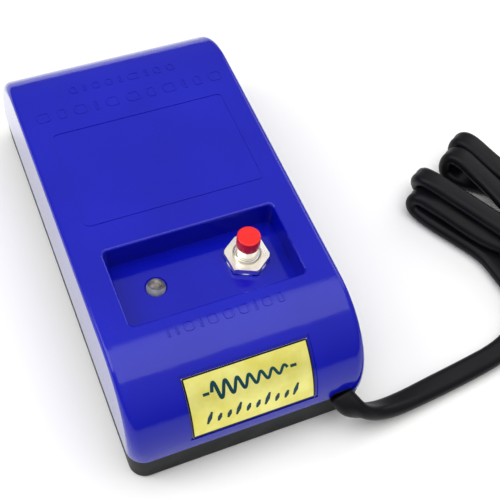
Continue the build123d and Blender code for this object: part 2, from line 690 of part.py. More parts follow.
LOW = 4.2  # the height that the wires run at over the base's floor
LEFT_CORE, RIGHT_CORE = CORD_X - 1.2, CORD_X + 1.2
LEFT_LUG, RIGHT_LUG = BUTTON_X - LUG_X, BUTTON_X + LUG_X
wires = {
    "wire_live": (
        [
            (LEFT_CORE, SHEATH_END, CORD_Z),
            (LEFT_CORE, SHEATH_END + 3.8, CORD_Z),
            (RIGHT_LUG, SHEATH_END + 8, LOW),
            (RIGHT_LUG, BUTTON_Y, LOW),
            (RIGHT_LUG, BUTTON_Y, LUG_BOTTOM),
        ],
        WIRE,
    ),
    "wire_neutral": (
        [
            (RIGHT_CORE, SHEATH_END, CORD_Z),
            (RIGHT_CORE, SHEATH_END + 3, CORD_Z),
            (19.2, SHEATH_END + 6.5, LOW),
            (19.2, -8, LOW),
            (PIN_XS[3], PIN_Y, LOW),
            (PIN_XS[3], PIN_Y, PIN_BOTTOM),
        ],
        WIRE,
    ),
    "wire_switched": (
        [
            (LEFT_LUG, BUTTON_Y, LUG_BOTTOM),
            (LEFT_LUG, BUTTON_Y, LOW),
            (PIN_XS[2], -10, LOW),
            (PIN_XS[2], PIN_Y, LOW),
            (PIN_XS[2], PIN_Y, PIN_BOTTOM),
        ],
        WIRE,
    ),
    "wire_led_anode": (
        [
            (ANODE_X, LED_Y, 6.0),
            (ANODE_X, LED_Y, LOW),
            (PIN_XS[0], PIN_Y, LOW),
            (PIN_XS[0], PIN_Y, PIN_BOTTOM),
        ],
        1.4,
    ),
    "wire_led_cathode": (
        [
            (CATHODE_X, LED_Y, 5.4),
            (CATHODE_X, LED_Y, 3.6),
            (PIN_XS[1], -12, 3.6),
            (PIN_XS[1], PIN_Y, 3.6),
            (PIN_XS[1], PIN_Y, PIN_BOTTOM),
        ],
        1.4,
    ),
}
for name, (points, diameter) in wires.items():
    finish(wire(points, 1.5, diameter), name)

# Free cord: out of the case, down to the surface and round to the hank
LIE = CORD_TUBE / 2 + 0.1  # the height of its middle where it lies
cord(
    "cord_lead",
    [
        (CORD_X, -LENGTH / 2, CORD_Z),
        (CORD_X, -64.2, CORD_Z),
        (27.6, -66.8, 8.0),
        (33.5, -67.0, 4.2),
        (40.5, -65.8, 2.9),
        (49.5, -64.0, LIE),
        (61.0, -62.8, LIE),
        (72.0, -60.3, LIE),
        (79.8, -53.2, LIE),
        (82.8, -43.0, LIE),
        (81.6, -33.0, LIE),
    ],
)

# Hank: loose end loops, and turns of the cord wound round its middle
HANK = Plane((79.9, 1.7, 0), (0.5, -math.sqrt(0.75), 0), (0, 0, 1))
LOOPS_HEIGHT = 11.5
WRAP_FROM, WRAP_TO = 37.0, 71.0
WRAP_WIDTH, WRAP_HEIGHT = 29.0, 17.0
with BuildPart() as cord_hank:
    with BuildSketch(HANK):
        Polygon(
            (0.5, -7),
            (4.5, -14.5),
            (10, -16.2),
            (32, -15.5),
            (46, -11.5),
            (70, -11.5),
            (86, -14.5),
            (100, -11),
            (100, 10),
            (90, 14),
            (70, 11.5),
            (42, 11.5),
            (25, 17.3),
            (7, 17.3),
            (2, 11),
            align=None,
        )
        fillet(vertices(), 4)
    extrude(amount=LOOPS_HEIGHT)
    fillet(cord_hank.edges().group_by(Axis.Z)[-1], 3)
    with BuildSketch(HANK):
        with Locations(((WRAP_FROM + WRAP_TO) / 2, 0)):
            Rectangle(WRAP_TO - WRAP_FROM, WRAP_WIDTH)
    extrude(amount=WRAP_HEIGHT)
    top = cord_hank.edges().filter_by_position(Axis.Z, WRAP_HEIGHT - 0.1, WRAP_HEIGHT + 0.1)
    fillet(top, 5)
finish(cord_hank.part, "cord_hank")

# Tail of the cord and the plug
TAIL_FROM = HANK.from_local_coords((67.5, WRAP_WIDTH / 2, LIE))
PLUG_X, PLUG_Y, PLUG_Z = 138.9, -20.5, 5.7
PLUG_LENGTH = 34.0
BLADE_LENGTH, BLADE_HEIGHT, BLADE_THICK, BLADE_PITCH = 16.5, 6.3, 1.5, 12.7
cord(
    "cord_tail",
    [
        tuple(TAIL_FROM),
        (131.0, -46.2, LIE),
        (136.8, -38.8, 3.2),
        (138.8, -29.5, 4.8),
        (PLUG_X, PLUG_Y, PLUG_Z),
    ],
)

with BuildPart() as plug_body:
    for along, width, height in (
        (0, 8, 7),
        (9, 9.6, 7.6),
        (17, 17, 9.4),
        (25, 23.2, 10.6),
        (PLUG_LENGTH, 24, 11),
    ):
        with BuildSketch(Plane((PLUG_X, PLUG_Y + along, PLUG_Z), (1, 0, 0), (0, 1, 0))):
            RectangleRounded(width, height, height * 0.33)
    loft()
finish(plug_body.part, "plug_body")

with BuildPart() as plug_blades:
    with BuildSketch(Plane((PLUG_X, PLUG_Y + PLUG_LENGTH, PLUG_Z), (1, 0, 0), (0, 1, 0))):
        with Locations((-BLADE_PITCH / 2, 0), (BLADE_PITCH / 2, 0)):
            Rectangle(BLADE_THICK, BLADE_HEIGHT)
    extrude(amount=BLADE_LENGTH)
    with BuildSketch(Plane.YZ.offset(PLUG_X - BLADE_PITCH)):
        with Locations((PLUG_Y + PLUG_LENGTH + BLADE_LENGTH - 4.5, PLUG_Z)):
            Circle(1.6)
    extrude(amount=2 * BLADE_PITCH, mode=Mode.SUBTRACT)
finish(plug_blades.part, "plug_blades")
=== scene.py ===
import math

import bmesh
import bpy
import numpy as np
from mathutils import Matrix, Vector


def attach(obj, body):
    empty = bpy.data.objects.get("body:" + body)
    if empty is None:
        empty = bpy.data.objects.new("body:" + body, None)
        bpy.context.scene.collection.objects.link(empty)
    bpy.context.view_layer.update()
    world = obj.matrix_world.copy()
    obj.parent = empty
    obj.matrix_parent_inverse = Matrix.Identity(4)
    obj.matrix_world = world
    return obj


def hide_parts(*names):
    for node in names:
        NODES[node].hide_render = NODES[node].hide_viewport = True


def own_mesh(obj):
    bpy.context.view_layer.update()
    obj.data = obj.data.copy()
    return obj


# A desktop watch demagnetizer: materials for the CAD parts, the mains cord as one flat lead with
# its hank, the raised marks of the shell and the print of its label.
# Metres, in the CAD frame: X runs left to right, Y front to back, Z up.

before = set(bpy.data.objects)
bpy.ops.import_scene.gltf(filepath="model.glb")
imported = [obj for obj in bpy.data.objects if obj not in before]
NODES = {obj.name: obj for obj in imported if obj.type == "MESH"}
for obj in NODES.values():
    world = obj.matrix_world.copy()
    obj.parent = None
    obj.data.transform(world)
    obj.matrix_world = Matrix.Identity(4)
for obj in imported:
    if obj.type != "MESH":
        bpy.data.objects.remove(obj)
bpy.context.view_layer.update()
MM = 0.001
scene = bpy.context.scene


# ---------------------------------------------------------------- camera
LENS_MM, SENSOR_MM = 72.43, 36
CAMERA_AZIMUTH, CAMERA_ELEVATION, CAMERA_ROLL = -28.064, 55.952, 7.113  # degrees
CAMERA_TARGET = Vector((15.6, -17.715, 20.0)) * MM
CAMERA_DISTANCE = 261.587 * MM


def make_camera():
    azimuth, elevation = math.radians(CAMERA_AZIMUTH), math.radians(CAMERA_ELEVATION)
    roll = math.radians(CAMERA_ROLL)
    back = Vector(
        (
            math.sin(azimuth) * math.cos(elevation),
            -math.cos(azimuth) * math.cos(elevation),
            math.sin(elevation),
        )
    )
    level = Vector((0, 0, 1)).cross(back).normalized()
    upward = back.cross(level)
    across = math.cos(roll) * level + math.sin(roll) * upward
    along = math.cos(roll) * upward - math.sin(roll) * level
    data = bpy.data.cameras.new("camera")
    data.lens = LENS_MM
    data.sensor_width = SENSOR_MM
    data.clip_start, data.clip_end = 0.01, 20
    camera = bpy.data.objects.new("camera", data)
    scene.collection.objects.link(camera)
    camera.matrix_world = Matrix.Translation(CAMERA_TARGET + CAMERA_DISTANCE * back) @ Matrix(
        (across, along, back)
    ).transposed().to_4x4()
    scene.camera = camera


make_camera()


# ---------------------------------------------------------------- mesh helpers
def add_mesh(name, vertices, faces, smooth=True):
    mesh = bpy.data.meshes.new(name)
    mesh.from_pydata([tuple(v) for v in vertices], [], faces)
    mesh.validate()
    mesh.polygons.foreach_set("use_smooth", [smooth] * len(mesh.polygons))
    mesh.update()
    piece = bpy.data.objects.new(name, mesh)
    scene.collection.objects.link(piece)
    return piece


def tube_faces(painted_lens_rings, sides):
    """The faces of a tube that is a row of rings, closed at both ends."""
    faces = []
    for ring in range(painted_lens_rings - 1):
        for k in range(sides):
            a, b = ring * sides + k, ring * sides + (k + 1) % sides
            faces.append((a, b, b + sides, a + sides))
    faces.append(tuple(reversed(range(sides))))
    faces.append(tuple(range((painted_lens_rings - 1) * sides, painted_lens_rings * sides)))
    return faces


def outward(piece):
    """Turns the faces of a closed piece outwards."""
    build = bmesh.new()
    build.from_mesh(piece.data)
    bmesh.ops.recalc_face_normals(build, faces=build.faces)
    build.to_mesh(piece.data)
    build.free()


# ---------------------------------------------------------------- mains cord
CORD_WIDTH, CORD_THICK = 6.3 * MM, 3.9 * MM

# The hank lies along its own axes: s along it, v across it
HANK_ORIGIN = Vector((79.9, 1.7, 0)) * MM
HANK_ALONG = Vector((0.5, -math.sqrt(0.75), 0))
HANK_ACROSS = Vector((math.sqrt(0.75), 0.5, 0))
RIGHT, BACK, UP = Vector((1, 0, 0)), Vector((0, 1, 0)), Vector((0, 0, 1))


def hank(s, v, z):
    return HANK_ORIGIN + MM * (s * HANK_ALONG + v * HANK_ACROSS + z * UP)


def here(x, y, z):
    return MM * Vector((x, y, z))


# Each point of the route, and the way that the cord's wide side lies there
FLAT = HANK_ACROSS
LEANING = 0.6 * HANK_ACROSS + 0.8 * UP
LEAD = [
    (here(23.7, -60.0, 10.8), RIGHT),
    (here(24.1, -62.2, 10.0), Vector((0.92, -0.35, 0.15))),
    (here(27.0, -64.3, 7.4), Vector((0.6, -0.7, 0.4))),
    (here(32.2, -64.8, 4.2), Vector((0.3, -0.85, 0.45))),
    (here(39.0, -64.4, 2.5), Vector((0.05, -0.95, 0.3))),
    (here(49.0, -63.2, 2.1), BACK),
    (here(61.0, -61.8, 2.1), BACK),
    (here(73.0, -60.0, 2.1), BACK),
    (here(82.6, -55.4, 2.2), Vector((0.8, -0.6, 0.0))),
    (here(86.8, -46.8, 2.1), RIGHT),
    (here(85.8, -37.8, 2.1), RIGHT),
]
LOOP_C = [
    (hank(30.5, -12.0, 2.1), FLAT),
    (hank(21.0, -12.0, 2.1), FLAT),
    (hank(14.0, -12.1, 2.1), FLAT),
    (hank(9.8, -11.9, 2.1), FLAT),
    (hank(6.4, -11.4, 2.3), FLAT),
    (hank(4.9, -11.0, 3.6), FLAT),
    (hank(4.9, -10.6, 5.4), FLAT),
    (hank(6.4, -10.3, 6.7), FLAT),
    (hank(9.6, -10.0, 6.6), 0.95 * HANK_ACROSS + 0.3 * UP),
    (hank(15.0, -9.8, 6.4), 0.95 * HANK_ACROSS + 0.3 * UP),
    (hank(22.0, -10.1, 6.3), 0.95 * HANK_ACROSS + 0.3 * UP),
    (hank(29.0, -10.0, 6.2), 0.95 * HANK_ACROSS + 0.3 * UP),
    (hank(35.5, -8.6, 6.1), FLAT),
    (hank(42.0, -6.6, 6.1), FLAT),
    (hank(69.0, -6.6, 6.1), FLAT),
    (hank(76.0, -7.8, 4.2), FLAT),
    (hank(82.5, -9.2, 3.3), LEANING),
    (hank(89.0, -9.0, 3.3), UP),
    (hank(91.2, -4.8, 3.3), UP),
    (hank(88.6, -0.8, 3.3), UP),
    (hank(81.5, 0.0, 3.3), HANK_ACROSS - 0.8 * UP),
    (hank(76.0, 0.2, 4.4), FLAT),
    (hank(70.0, 0.0, 6.1), FLAT),
    (hank(41.0, 0.0, 6.1), FLAT),
    (hank(35.0, -1.8, 4.2), FLAT),
    (hank(28.0, -3.4, 2.3), FLAT),
    (hank(18.0, -3.8, 2.1), FLAT),
    (hank(9.0, -4.2, 2.1), FLAT),
]
LOOP_B = [
    (hank(4.0, -4.2, 2.5), FLAT),
    (hank(2.2, -5.0, 6.0), FLAT),
    (hank(3.2, -6.6, 10.0), FLAT),
    (hank(8.0, -7.0, 11.0), FLAT),
    (hank(14.0, -6.8, 10.5), FLAT),
    (hank(22.0, -6.9, 10.4), FLAT),
    (hank(31.0, -7.1, 10.3), FLAT),
    (hank(40.0, -6.8, 10.2), FLAT),
    (hank(48.0, -6.6, 10.3), FLAT),
    (hank(64.0, -6.6, 10.3), FLAT),
    (hank(74.0, -8.2, 10.0), FLAT),
    (hank(84.0, -11.4, 9.0), FLAT),
    (hank(93.0, -11.0, 7.2), LEANING),
    (hank(98.0, -4.0, 5.2), UP),
    (hank(98.0, 4.6, 3.8), UP),
    (hank(93.0, 10.6, 3.3), UP),
    (hank(84.0, 10.8, 3.2), HANK_ACROSS - 0.8 * UP),
    (hank(76.5, 8.2, 4.2), FLAT),
    (hank(70.0, 6.6, 6.1), FLAT),
    (hank(41.0, 6.6, 6.1), FLAT),
    (hank(35.0, 7.4, 4.0), FLAT),
    (hank(28.0, 9.0, 3.4), LEANING),
    (hank(21.0, 9.5, 3.4), UP),
    (hank(14.0, 7.4, 3.2), LEANING),
]
LOOP_A = [
    (hank(8.4, 6.2, 2.1), FLAT),
    (hank(5.4, 6.4, 3.4), FLAT),
    (hank(5.0, 6.8, 8.4), FLAT),
    (hank(8.2, 7.1, 10.2), FLAT),
    (hank(14.5, 6.0, 9.4), FLAT),
    (hank(22.0, 4.0, 9.3), FLAT),
    (hank(30.0, 0.8, 9.7), FLAT),
    (hank(38.0, 0.0, 10.2), FLAT),
    (hank(48.0, 0.0, 10.3), FLAT),
    (hank(64.0, 0.0, 10.3), FLAT),
    (hank(74.0, 0.6, 10.0), FLAT),
    (hank(81.0, 0.9, 9.8), LEANING),
    (hank(88.0, 1.0, 9.8), UP),
    (hank(90.4, 4.8, 9.8), UP),
    (hank(87.8, 8.6, 9.8), UP),
    (hank(81.0, 8.8, 9.9), HANK_ACROSS - 0.8 * UP),
    (hank(74.0, 7.6, 10.1), FLAT),
    (hank(64.0, 6.6, 10.3), FLAT),
    (hank(48.0, 6.6, 10.3), FLAT),
    (hank(40.0, 8.2, 9.4), FLAT),
    (hank(32.0, 12.0, 5.6), FLAT),
    (hank(24.0, 14.2, 2.5), FLAT),
    (hank(16.0, 14.4, 2.1), FLAT),
]
LAST_LOOP = [
    (hank(8.0, 13.6, 2.1), FLAT),
    (hank(4.4, 13.3, 3.4), FLAT),
    (hank(3.8, 13.4, 8.6), FLAT),
    (hank(7.0, 13.3, 10.4), FLAT),
    (hank(14.5, 12.0, 9.6), FLAT),
    (hank(22.0, 10.6, 9.3), FLAT),
    (hank(29.0, 9.8, 10.4), FLAT),
    (hank(34.2, 8.8, 13.6), HANK_ACROSS + HANK_ALONG),
    (hank(37.8, 5.4, 15.0), HANK_ALONG),
]

# One turn round the middle of the hank, over the top first, as (across, height)
TURN = [
    (0.0, 14.7),
    (-6.0, 14.6),
    (-10.4, 14.0),
    (-12.3, 11.2),
    (-12.4, 6.6),
    (-11.4, 2.9),
    (-7.6, 2.0),
    (0.0, 2.0),
    (7.6, 2.0),
    (11.4, 2.9),
    (12.4, 6.6),
    (12.3, 11.2),
    (10.4, 14.0),
    (6.0, 14.6),
]
TURNS, TURN_FROM, TURN_STEP = 4.5, 39.2, 6.45
SLACK, SLACK_PACE = 0.03, 2.3  # the turns are not pulled equally tight
WRAPS = []
for step in range(round(TURNS * len(TURN)) + 1):
    across, height = TURN[step % len(TURN)]
    turn = step / len(TURN)
    slack = 1 + SLACK * math.sin(SLACK_PACE * turn)
    place = hank(TURN_FROM + TURN_STEP * turn, across * slack, height)
    WRAPS.append((place, HANK_ALONG))
TAIL = [
    (hank(68.6, 8.0, 2.0), HANK_ALONG),
    (here(125.0, -49.9, 2.1), HANK_ALONG),
    (here(131.6, -45.8, 2.3), Vector((0.8, -0.6, 0.1))),
    (here(136.8, -38.2, 3.0), RIGHT),
    (here(138.8, -29.0, 4.8), RIGHT),
    (here(138.9, -19.5, 5.7), RIGHT),
]
ROUTE = LEAD + LOOP_C + LOOP_B + LOOP_A + LAST_LOOP + WRAPS + TAIL
LINE_RESOLUTION = 9
WIDTH_SMOOTHING = 15  # points of the line, an odd number
EDGE_STEPS = 8  # round each edge of the section
CORE_DIP = 0.94  # thickness between the two cores, as a share of the full one


def read_line(name, points):
    """The points that the route's smooth line passes through, close together."""
    data = bpy.data.curves.new(name, "CURVE")
    data.dimensions = "3D"
    data.resolution_u = LINE_RESOLUTION
    spline = data.splines.new("NURBS")
    spline.points.add(len(points) - 1)
    for point, place in zip(spline.points, points):
        point.co = (*place, 1)
    spline.order_u = 3
    spline.use_endpoint_u = True
    holder = bpy.data.objects.new(name, data)
    scene.collection.objects.link(holder)
    bpy.context.view_layer.update()
    mesh = bpy.data.meshes.new_from_object(holder)
    line = np.array([v.co for v in mesh.vertices])
    bpy.data.objects.remove(holder)
    bpy.data.meshes.remove(mesh)
    return line


def unit(vectors):
    return vectors / np.linalg.norm(vectors, axis=-1, keepdims=True)


def widths_along(line, hints):
    """The way across a flat cord's wide side at each point, from the hints of the route."""
    tangents = unit(np.gradient(line, axis=0))
    hints = [np.array(h.normalized()) for h in hints]
    for i in range(1, len(hints)):
        if hints[i] @ hints[i - 1] < 0:
            hints[i] = -hints[i]
    at = np.linspace(0, len(hints) - 1, len(line))
    low = np.minimum(at.astype(int), len(hints) - 2)
    part = (at - low)[:, None]
    hints = np.array(hints)
    wide = hints[low] * (1 - part) + hints[low + 1] * part
    kernel = np.hanning(WIDTH_SMOOTHING)
    kernel /= kernel.sum()
    padded = np.pad(wide, ((WIDTH_SMOOTHING // 2,) * 2, (0, 0)), mode="edge")
    wide = np.stack([np.convolve(padded[:, k], kernel, "valid") for k in range(3)], axis=1)
    wide -= (wide * tangents).sum(1, keepdims=True) * tangents
    return tangents, unit(wide)


def flat_section():
    """The cord's outline: two round edges, and faces that dip a little between the cores."""
    reach, radius = (CORD_WIDTH - CORD_THICK) / 2, CORD_THICK / 2
    outline = []
    for side in (1, -1):
        for step in range(EDGE_STEPS + 1):
            angle = math.pi * step / EDGE_STEPS - math.pi / 2
            u, w = reach + radius * math.cos(angle), radius * math.sin(angle)
            outline.append((side * u, side * w))
        outline.append((0.0, side * radius * CORE_DIP))
    return outline


def make_cord():
    line = read_line("cord_line", [place for place, hint in ROUTE])
    tangents, wide = widths_along(line, [hint for place, hint in ROUTE])
    thin = np.cross(tangents, wide)
    section = flat_section()
    vertices = []
    for centre, across, through in zip(line, wide, thin):
        vertices += [centre + u * across + w * through for u, w in section]
    piece = add_mesh("cord", vertices, tube_faces(len(line), len(section)))
    outward(piece)
    return piece, line


cord, cord_line = make_cord()
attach(cord, "case")
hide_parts("cord_lead", "cord_hank", "cord_tail")


# ---------------------------------------------------------------- materials
def srgb(red, green, blue):
    def linear(c):
        c /= 255
        return c / 12.92 if c <= 0.04045 else ((c + 0.055) / 1.055) ** 2.4

    return (linear(red), linear(green), linear(blue), 1.0)


class Finish:
    """A procedural material: one Principled shader and the nodes that feed it."""

    def __init__(self, name, **sockets):
        self.material = bpy.data.materials.new(name)
        self.material.use_nodes = True
        self.tree = self.material.node_tree
        self.shader = self.tree.nodes["Principled BSDF"]
        self.place = self.node("ShaderNodeTexCoord").outputs["Object"]
        self.bumped = None
        for socket, value in sockets.items():
            self.shader.inputs[socket.replace("_", " ")].default_value = value

    def node(self, kind, **values):
        node = self.tree.nodes.new(kind)
        for key, value in values.items():
            setattr(node, key, value)
        return node

    def link(self, source, target):
        self.tree.links.new(source, target)

    def scaled(self, stretch):
        mapping = self.node("ShaderNodeMapping")
        mapping.inputs["Scale"].default_value = stretch
        self.link(self.place, mapping.inputs["Vector"])
        return mapping.outputs["Vector"]

    def noise(self, scale, detail=3, stretch=(1, 1, 1)):
        noise = self.node("ShaderNodeTexNoise")
        noise.inputs["Scale"].default_value = scale
        noise.inputs["Detail"].default_value = detail
        self.link(self.scaled(stretch), noise.inputs["Vector"])
        return noise.outputs["Fac"]

    def ramp(self, source, low, high, from_value, to_value):
        """Maps source from low..high to from_value..to_value, clamped."""
        node = self.node("ShaderNodeMapRange")
        node.inputs["From Min"].default_value = low
        node.inputs["From Max"].default_value = high
        node.inputs["To Min"].default_value = from_value
        node.inputs["To Max"].default_value = to_value
        self.link(source, node.inputs["Value"])
        return node.outputs["Result"]

    def colour(self, source, *stops):
        """Colours along source, each stop as (position, colour)."""
        node = self.node("ShaderNodeValToRGB")
        elements = node.color_ramp.elements
        while len(elements) < len(stops):
            elements.new(0.5)
        for element, (position, colour) in zip(elements, stops):
            element.position = position
            element.color = colour
        self.link(source, node.inputs["Fac"])
        return node.outputs["Color"]

    def mix(self, factor, first, second):
        """Mixes two colours; 6, 7 and 2 are the node's sockets for colours."""
        node = self.node("ShaderNodeMix", data_type="RGBA")
        self.link(factor, node.inputs["Factor"])
        self.link(first, node.inputs[6])
        self.link(second, node.inputs[7])
        return node.outputs[2]

    def paint(self, colour):
        self.link(colour, self.shader.inputs["Base Color"])

    def rough(self, source, low, high):
        self.link(self.ramp(source, 0.3, 0.7, low, high), self.shader.inputs["Roughness"])

    def bump(self, source, depth):
        """Raises the surface along source, depth in metres; the calls add up."""
        node = self.node("ShaderNodeBump")
        node.inputs["Distance"].default_value = depth
        self.link(source, node.inputs["Height"])
        if self.bumped:
            self.link(self.bumped, node.inputs["Normal"])
        self.bumped = node.outputs["Normal"]
        self.link(self.bumped, self.shader.inputs["Normal"])


def moulded(name, dark, light, low, high, grain=1500, depth=0.01 * MM, **sockets):
    """Moulded plastic: two near shades in soft clouds, a fine grain, and rubbed patches."""
    finish = Finish(name, **sockets)
    clouds = finish.noise(45, 2)
    finish.paint(finish.colour(clouds, (0.3, dark), (0.7, light)))
    finish.rough(finish.noise(120, 4), low, high)
    finish.bump(finish.noise(grain, 3), depth)
    return finish


def metal(name, dark, light, low, high, stretch=(1, 1, 1), grain=900, depth=0.004 * MM):
    """Bare or plated metal: slight tarnish, and a grain that stretch draws out one way."""
    finish = Finish(name, Metallic=1.0)
    finish.paint(finish.colour(finish.noise(160, 4), (0.35, dark), (0.65, light)))
    finish.rough(finish.noise(grain / 3, 4, stretch), low, high)
    finish.bump(finish.noise(grain, 3, stretch), depth)
    return finish


FINISHES = {}

# Shell: glossy blue plastic with hair scratches, glossier at a grazing angle
shell = moulded(
    "shell_blue", srgb(5, 12, 165), srgb(9, 18, 175), 0.1, 0.16, 1100, 0.004 * MM, IOR=1.38
)
grazing = shell.node("ShaderNodeLayerWeight").outputs["Facing"]
shell.link(shell.ramp(grazing, 0.72, 0.94, 0.12, 1.0), shell.shader.inputs["Coat Weight"])
shell.shader.inputs["Coat Roughness"].default_value = 0.04
scratches = shell.noise(900, 2, (0.05, 1, 1))
shell.bump(shell.ramp(scratches, 0.66, 0.74, 0, 1), 0.003 * MM)
FINISHES["blue_shell"] = shell

base = moulded("base_black", srgb(17, 19, 20), srgb(26, 28, 29), 0.4, 0.5, 1800, 0.02 * MM)
base.shader.inputs["Specular IOR Level"].default_value = 0.06
FINISHES["black_plastic"] = base
cable = moulded("cord_black", srgb(10, 9, 13), srgb(17, 16, 21), 0.34, 0.44, 1300, 0.012 * MM)
cable.shader.inputs["Specular IOR Level"].default_value = 0.15
cable.bump(cable.noise(160, 2), 0.08 * MM)
FINISHES["pvc_black"] = cable
FINISHES["pvc_brown"] = moulded("wire_brown", srgb(70, 38, 20), srgb(92, 52, 28), 0.35, 0.5)
FINISHES["pvc_blue"] = moulded("wire_blue", srgb(24, 70, 160), srgb(34, 88, 180), 0.35, 0.5)

FINISHES["red_plastic"] = moulded(
    "cap_red", srgb(226, 12, 14), srgb(238, 24, 18), 0.22, 0.34, 1600
)

# Label: brushed gold film
gold = metal(
    "label_gold", srgb(238, 228, 108), srgb(252, 246, 146), 0.28, 0.4, (1, 0.03, 0.03), 2600
)
gold.shader.inputs["Metallic"].default_value = 0.35
FINISHES["gold_foil"] = gold

FINISHES["chrome_plate"] = metal(
    "chrome", (0.86, 0.84, 0.80, 1), (0.94, 0.92, 0.88, 1), 0.05, 0.12, (1, 1, 0.05)
)
FINISHES["nickel_plate"] = metal(
    "nickel", (0.90, 0.85, 0.74, 1), (1.0, 0.97, 0.89, 1), 0.2, 0.36, (1, 0.15, 1)
)
FINISHES["spring_steel"] = metal(
    "spring_steel", (0.42, 0.42, 0.43, 1), (0.56, 0.56, 0.57, 1), 0.2, 0.35
)
FINISHES["zinc_steel"] = metal(
    "zinc_steel", (0.52, 0.53, 0.55, 1), (0.68, 0.69, 0.72, 1), 0.25, 0.45
)
FINISHES["contact_brass"] = metal(
    "contact_brass", (0.62, 0.44, 0.17, 1), (0.78, 0.58, 0.26, 1), 0.2, 0.4
)
FINISHES["blade_brass"] = metal(
    "blade_brass", (0.70, 0.62, 0.46, 1), (0.80, 0.74, 0.60, 1), 0.16, 0.3, (1, 0.05, 1)
)
FINISHES["core_iron"] = metal(
    "core_iron",
    (0.16, 0.16, 0.17, 1),
    (0.26, 0.26, 0.28, 1),
    0.4,
    0.6,
    (1, 6, 1),
    500,
    0.03 * MM,
)
FINISHES["phenolic"] = moulded("phenolic", srgb(52, 30, 18), srgb(74, 44, 26), 0.4, 0.6)
FINISHES["nylon_white"] = moulded(
    "nylon_white", srgb(214, 212, 202), srgb(232, 230, 222), 0.4, 0.55
)
FINISHES["resistor_body"] = moulded(
    "resistor_body", srgb(186, 160, 118), srgb(206, 182, 142), 0.4, 0.55
)
FINISHES["diode_body"] = moulded("diode_body", srgb(18, 18, 20), srgb(30, 30, 32), 0.3, 0.45)

# Lamp: clear lens whose colour paints light onto it: rings round a pale middle, darker bands of
# painted shade, and a white outer ring that is a painted highlight.
# The rings' middle is off the lamp's axis, so the painted highlight is widest at the front left; a
# shift of zero would centre them.
LED_AXIS, PAINTED_HIGHLIGHT_SHIFT = Vector((-11.9, -22.8, 0)), Vector((0.3, 0.5, 0))
PAINTED_RING_REACH = 3.0 * MM
lens = Finish("led_epoxy", Transmission_Weight=0.5, IOR=1.54)
centred = lens.node("ShaderNodeMapping")
centred.inputs["Location"].default_value = -(LED_AXIS + PAINTED_HIGHLIGHT_SHIFT) * MM
centred.inputs["Scale"].default_value = (1, 1, 0)
lens.link(lens.node("ShaderNodeNewGeometry").outputs["Position"], centred.inputs["Vector"])
reach = lens.node("ShaderNodeVectorMath", operation="LENGTH")
lens.link(centred.outputs["Vector"], reach.inputs[0])
# Painted highlight and painted shade in the lens colour, in rings round the shifted middle
painted_lens_rings = lens.colour(
    lens.ramp(reach.outputs["Value"], 0.0, PAINTED_RING_REACH, 0, 1),
    (0.0, srgb(228, 222, 214)),
    (0.22, srgb(160, 152, 144)),
    (0.55, srgb(112, 106, 104)),
    (0.72, srgb(140, 140, 142)),
    (0.8, srgb(253, 254, 255)),
)
haze = lens.colour(lens.noise(900, 3), (0.35, srgb(70, 62, 58)), (0.65, srgb(214, 208, 200)))
# The lens colour is the painted highlight and shade of the rings, mixed with a random haze
lens.paint(lens.mix(lens.ramp(lens.noise(600, 2), 0.3, 0.7, 0.1, 0.45), painted_lens_rings, haze))
lens.rough(lens.noise(400, 3), 0.02, 0.07)
lens.bump(lens.noise(500, 2), 0.006 * MM)
FINISHES["led_epoxy"] = lens

FINISHES["enamelled_copper"] = metal(
    "enamelled_copper",
    (0.42, 0.16, 0.06, 1),
    (0.58, 0.25, 0.10, 1),
    0.2,
    0.34,
    (0.05, 0.05, 1),
    1400,
    0.08 * MM,
)

tape = moulded("tape_yellow", srgb(226, 178, 40), srgb(240, 200, 70), 0.25, 0.4)
tape.shader.inputs["Coat Weight"].default_value = 0.4
FINISHES["tape_yellow"] = tape

for node in NODES.values():
    for place in node.material_slots:
        place.material = FINISHES[place.material.name.split(".")[0]].material
cord.data.materials.append(cable.material)


# ---------------------------------------------------------------- spring of the button
BUTTON_X, BUTTON_Y, BUTTON_TRAVEL = 12.4, -22.3, 2.2
SPRING_FOOT, SPRING_HEAD = 12.0, 16.4
SPRING_RADIUS, SPRING_WIRE = 1.55, 0.36
SPRING_TURNS = 4.5
CLOSED_TURNS = 0.8  # nearly flat, at each end
CLOSED_RISE = 0.45 * SPRING_WIRE  # that each of them climbs


def make_spring():
    """A coil spring with a nearly flat closed turn at each end."""
    steps, sides = 30, 10
    low, high = SPRING_FOOT + SPRING_WIRE / 2, SPRING_HEAD - SPRING_WIRE / 2
    line = []
    for step in range(round(SPRING_TURNS * steps) + 1):
        turn = step / steps
        climb = min(max((turn - CLOSED_TURNS) / (SPRING_TURNS - 2 * CLOSED_TURNS), 0), 1)
        closed = min(turn, CLOSED_TURNS) + max(turn - SPRING_TURNS + CLOSED_TURNS, 0)
        height = low + CLOSED_RISE * closed / CLOSED_TURNS + climb * (high - low - 2 * CLOSED_RISE)
        angle = math.tau * turn
        x = BUTTON_X + SPRING_RADIUS * math.cos(angle)
        y = BUTTON_Y + SPRING_RADIUS * math.sin(angle)
        line.append(here(x, y, height))
    line = np.array(line)
    tangents = unit(np.gradient(line, axis=0))
    vertices = []
    for centre, ahead in zip(line, tangents):
        side = unit(np.cross(ahead, (0, 0, 1)))
        over = np.cross(side, ahead)
        for k in range(sides):
            angle = math.tau * k / sides
            offset = math.cos(angle) * side + math.sin(angle) * over
            vertices.append(centre + SPRING_WIRE / 2 * MM * offset)
    piece = add_mesh("return_spring", vertices, tube_faces(len(line), sides))
    outward(piece)
    return piece


spring = make_spring()
spring.data.materials.append(FINISHES["spring_steel"].material)
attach(spring, "case")
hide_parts("button_spring")
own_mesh(spring)


# ---------------------------------------------------------------- raised marks of the shell
HEIGHT, ARC_Y, END_RADIUS = 32.0, 38.6, 21.4
ARC_Z = HEIGHT - END_RADIUS
MARK_RISE, MARK_SUNK = 0.14, 0.06
MARK_STROKE, MARK_SLOPE = 0.62, 0.1
MARK_CORNER = 0.36  # corner radius, as a share of a mark's shorter side
LEAST = 0.04  # the smallest corner radius and half opening


